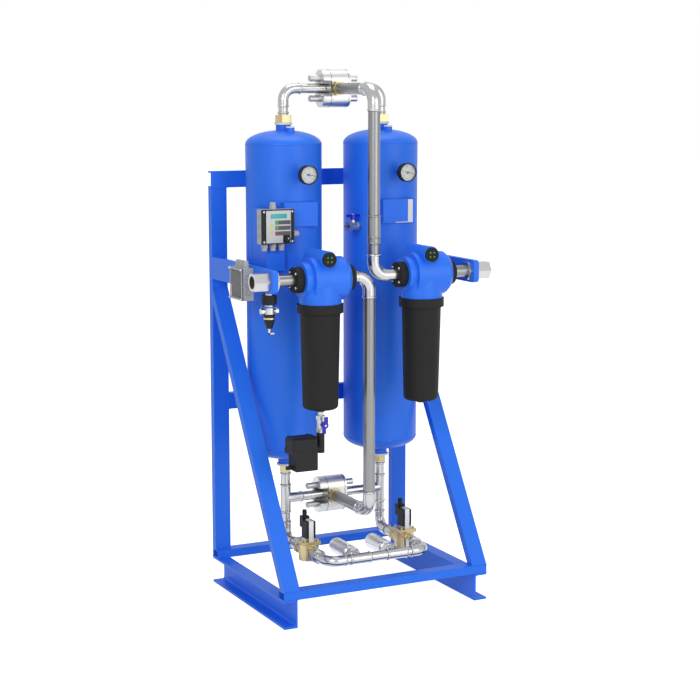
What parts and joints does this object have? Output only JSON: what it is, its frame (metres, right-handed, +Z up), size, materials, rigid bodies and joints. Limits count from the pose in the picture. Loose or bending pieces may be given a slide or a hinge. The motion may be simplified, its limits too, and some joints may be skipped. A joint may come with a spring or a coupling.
{
  "type": "twin tower desiccant air dryer",
  "caption": "Heatless regenerative air dryer: twin desiccant towers on a steel frame with inlet and outlet filters, shuttle valves, stainless piping and exhaust silencers.",
  "frame": {"origin": "on the floor under the middle of the frame, at the bottom centre of the bounding box", "axes": "+X along the line of the two towers, towards the outlet; +Y to the back, where the posts stand; +Z up"},
  "size_m": [0.922, 0.65, 1.9034],
  "materials": {
    "blue_paint": "satin blue paint",
    "vessel_paint": "satin blue paint",
    "head_paint": "satin blue paint on a casting",
    "stainless": "smooth drawn stainless steel",
    "brass": "turned brass",
    "zinc": "zinc plated steel",
    "aluminium": "anodised aluminium",
    "black_plastic": "matt black plastic",
    "grey_plastic": "grey plastic",
    "white_plastic": "white plastic",
    "clear": "clear window",
    "beads": "packed desiccant beads",
    "lever_blue": "blue plastic",
    "bowl_black": "black painted aluminium",
    "filter_paper": "pleated filter medium",
    "dial_white": "printed white dial",
    "pointer_black": "black pointer"
  },
  "bodies": {
    "root": {"back_posts": "blue_paint", "ball_valve_bodies": "zinc", "base_tubes": "blue_paint", "beam_lower": "blue_paint", "beam_top": "blue_paint", "bed_screens": "zinc", "brass_nipples": "brass", "cable_glands": "grey_plastic", "coil_plugs": "black_plastic", "control_box": "grey_plastic", "control_cover": "black_plastic", "desiccant_beds": "beads", "exhaust_manifold": "stainless", "exhaust_unions": "stainless", "fill_plugs": "zinc", "filter_bowls": "bowl_black", "filter_elements": "filter_paper", "filter_flanges": "bowl_black", "filter_heads": "head_paint", "filter_indicators": "black_plastic", "foot_channels": "blue_paint", "gauge_cases": "black_plastic", "gauge_dials": "dial_white", "gauge_windows": "clear", "junction_box": "grey_plastic", "junction_cover": "clear", "level_drain": "black_plastic", "lug_bolts": "zinc", "main_elbows": "stainless", "main_pipes": "stainless", "nozzle_rings": "white_plastic", "pipe_arms": "blue_paint", "port_sockets": "stainless", "regulator_body": "zinc", "regulator_bowl": "black_plastic", "riser_tees": "stainless", "sheet_brackets": "blue_paint", "side_braces": "blue_paint", "silencers": "aluminium", "solenoid_bodies": "brass", "solenoid_coils": "black_plastic", "tower_elbows": "stainless", "tower_pipes": "stainless", "valve_bodies": "aluminium", "valve_caps": "aluminium", "valve_tie_bolts": "zinc", "vessel_left": "vessel_paint", "vessel_right": "vessel_paint"},
    "gauge_pointer_left": {"pointer_left": "pointer_black"},
    "gauge_pointer_right": {"pointer_right": "pointer_black"},
    "top_shuttle": {"shuttle_top": "white_plastic"},
    "bottom_shuttle": {"shuttle_bottom": "white_plastic"},
    "left_plunger": {"plunger_left": "zinc"},
    "right_plunger": {"plunger_right": "zinc"},
    "drain_handle": {"drain_lever": "lever_blue", "drain_ball": "zinc"},
    "sample_handle": {"sample_lever": "lever_blue", "sample_ball": "zinc"},
    "regulator_knob": {"regulator_knob": "black_plastic"},
    "control_switch": {"control_switch": "black_plastic"}
  },
  "joints": [
    {"name": "left_pointer_turn", "type": "hinge", "parent": "root", "child": "gauge_pointer_left", "pos_m": [-0.195, -0.0915, 1.54], "axis": [0, 1, 0], "range_deg": [-235, 35]},
    {"name": "right_pointer_turn", "type": "hinge", "parent": "root", "child": "gauge_pointer_right", "pos_m": [0.195, -0.0915, 1.54], "axis": [0, 1, 0], "range_deg": [-235, 35]},
    {"name": "top_shuttle_slide", "type": "slide", "parent": "root", "child": "top_shuttle", "axis": [1, 0, 0], "range_m": [-0.01, 0.01]},
    {"name": "bottom_shuttle_slide", "type": "slide", "parent": "root", "child": "bottom_shuttle", "axis": [1, 0, 0], "range_m": [-0.01, 0.01]},
    {"name": "left_plunger_lift", "type": "slide", "parent": "root", "child": "left_plunger", "axis": [0, 0, 1], "range_m": [0, 0.004]},
    {"name": "right_plunger_lift", "type": "slide", "parent": "root", "child": "right_plunger", "axis": [0, 0, 1], "range_m": [0, 0.004]},
    {"name": "drain_handle_turn", "type": "hinge", "parent": "root", "child": "drain_handle", "pos_m": [-0.206, -0.205, 0.683], "axis": [0, -1, 0], "range_deg": [0, 90]},
    {"name": "sample_handle_turn", "type": "hinge", "parent": "root", "child": "sample_handle", "pos_m": [0.04004, 0.03351, 1.345], "axis": [0, 0, 1], "range_deg": [-90, 0]},
    {"name": "regulator_knob_turn", "type": "hinge", "parent": "root", "child": "regulator_knob", "pos_m": [-0.3925, -0.193, 1.142], "axis": [0, 0, 1], "continuous": true},
    {"name": "control_switch_turn", "type": "hinge", "parent": "root", "child": "control_switch", "pos_m": [-0.272, -0.075, 1.321], "axis": [0, 1, 0], "range_deg": [0, 90]}
  ]
}
